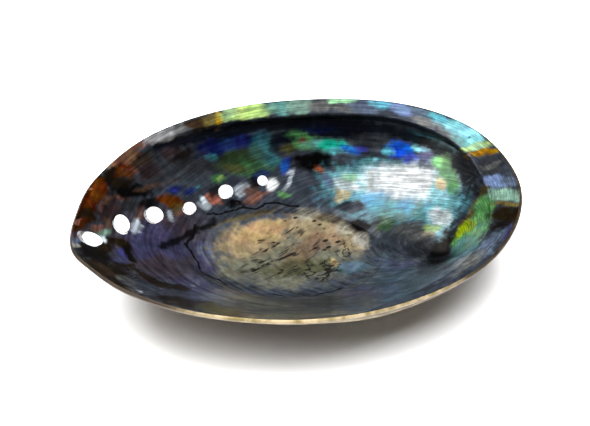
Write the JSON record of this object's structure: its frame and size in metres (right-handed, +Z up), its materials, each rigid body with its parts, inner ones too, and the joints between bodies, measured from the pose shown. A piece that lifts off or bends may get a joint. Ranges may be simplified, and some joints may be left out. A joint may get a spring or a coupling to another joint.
{
  "type": "abalone shell",
  "caption": "Abalone shell lying hollow side up: an ear-shaped bowl of nacre with a row of breathing holes, a flat inner shelf, a muscle scar and a small spire outside.",
  "frame": {"origin": "on the surface that the shell rests on, under the middle of its outline", "axes": "+X along the shell from its young end, with the open holes, to the end with the spire; +Y to the side with the flat inner shelf; +Z up, out of the hollow"},
  "size_m": [0.166, 0.1188, 0.0389],
  "materials": {
    "shell": "glossy iridescent nacre inside, with blue, green and violet lights over dark brown, and a dull brown ridged outside"
  },
  "bodies": {
    "root": {"abalone_shell": "shell"}
  },
  "joints": []
}
